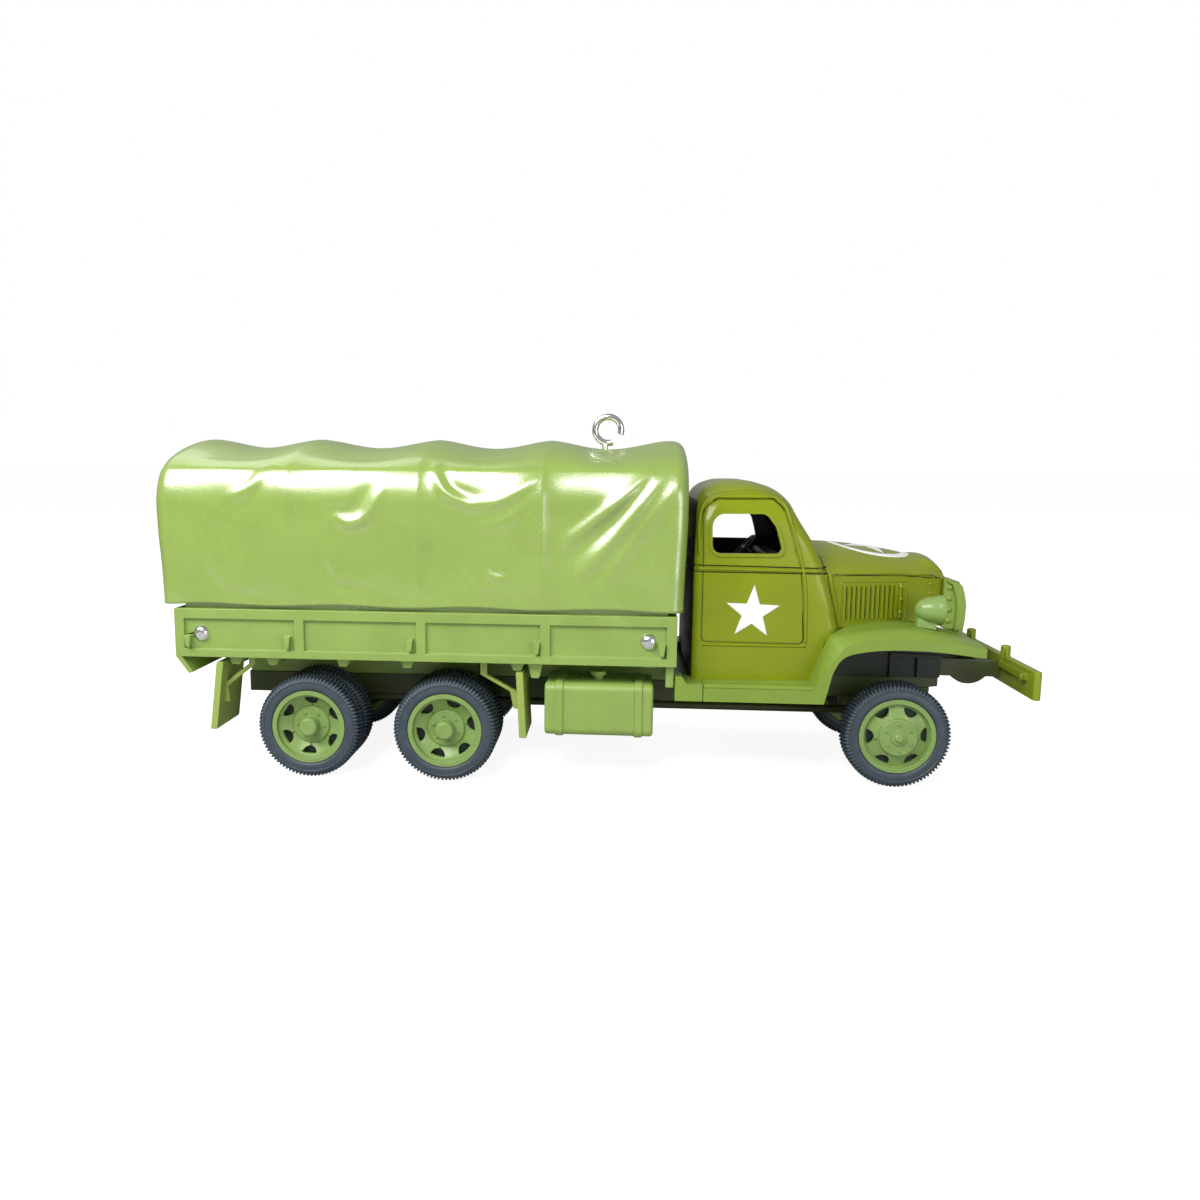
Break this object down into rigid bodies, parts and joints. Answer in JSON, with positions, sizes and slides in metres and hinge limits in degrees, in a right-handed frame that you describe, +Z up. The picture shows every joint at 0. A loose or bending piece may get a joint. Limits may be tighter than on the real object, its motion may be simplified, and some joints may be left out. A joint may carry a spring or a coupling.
{
  "type": "toy military cargo truck",
  "caption": "Toy covered cargo truck with a long bonnet, hollow cab, drop-side body, moulded canvas cover, hanging eye and axles that turn.",
  "frame": {"origin": "on the floor under the middle of the truck's length and width", "axes": "+X towards the bumper, +Y to the truck's left, +Z up"},
  "size_m": [0.2178, 0.0716, 0.0933],
  "materials": {
    "cover_green": "moulded canvas texture, matt",
    "body_green": "satin moulded",
    "cab_green": "satin paint on a casting",
    "wing_green": "satin moulded",
    "chassis_green": "satin paint on a casting",
    "wheel_green": "satin moulded",
    "black_plastic": "matt black",
    "tyre_black": "matt soft rubber",
    "steel": "bright zinc plate"
  },
  "bodies": {
    "truck": {"axle_housing_front": "chassis_green", "axle_housing_middle": "chassis_green", "axle_housing_rear": "chassis_green", "body_screws": "steel", "brush_guard": "wing_green", "cab_and_bonnet": "cab_green", "cab_interior": "black_plastic", "canvas_cover": "cover_green", "cargo_body": "body_green", "chassis_frame": "chassis_green", "driveline": "chassis_green", "eye_screw": "steel", "front_bumper": "chassis_green", "fuel_tank_left": "body_green", "fuel_tank_right": "body_green", "headlamp_left": "wing_green", "headlamp_right": "wing_green", "leaf_springs_front": "chassis_green", "leaf_springs_rear": "chassis_green", "mudflap_front_left": "cover_green", "mudflap_front_right": "cover_green", "mudflap_rear_left": "cover_green", "mudflap_rear_right": "cover_green", "steering_wheel": "black_plastic", "wings_and_boards": "wing_green"},
    "front_wheels": {"axle_pin_front": "steel", "wheel_front_left": "wheel_green", "wheel_front_right": "wheel_green", "tyre_front_left": "tyre_black", "tyre_front_right": "tyre_black"},
    "middle_wheels": {"axle_pin_middle": "steel", "wheel_middle_left": "wheel_green", "wheel_middle_right": "wheel_green", "tyre_middle_left": "tyre_black", "tyre_middle_right": "tyre_black"},
    "rear_wheels": {"axle_pin_rear": "steel", "wheel_rear_left": "wheel_green", "wheel_rear_right": "wheel_green", "tyre_rear_left": "tyre_black", "tyre_rear_right": "tyre_black"}
  },
  "joints": [
    {"name": "front_axle_spin", "type": "hinge", "parent": "truck", "child": "front_wheels", "pos_m": [0.07785, 0, 0.0132], "axis": [0, 1, 0], "continuous": true},
    {"name": "middle_axle_spin", "type": "hinge", "parent": "truck", "child": "middle_wheels", "pos_m": [-0.03485, 0, 0.0132], "axis": [0, 1, 0], "continuous": true},
    {"name": "rear_axle_spin", "type": "hinge", "parent": "truck", "child": "rear_wheels", "pos_m": [-0.06985, 0, 0.0132], "axis": [0, 1, 0], "continuous": true}
  ]
}
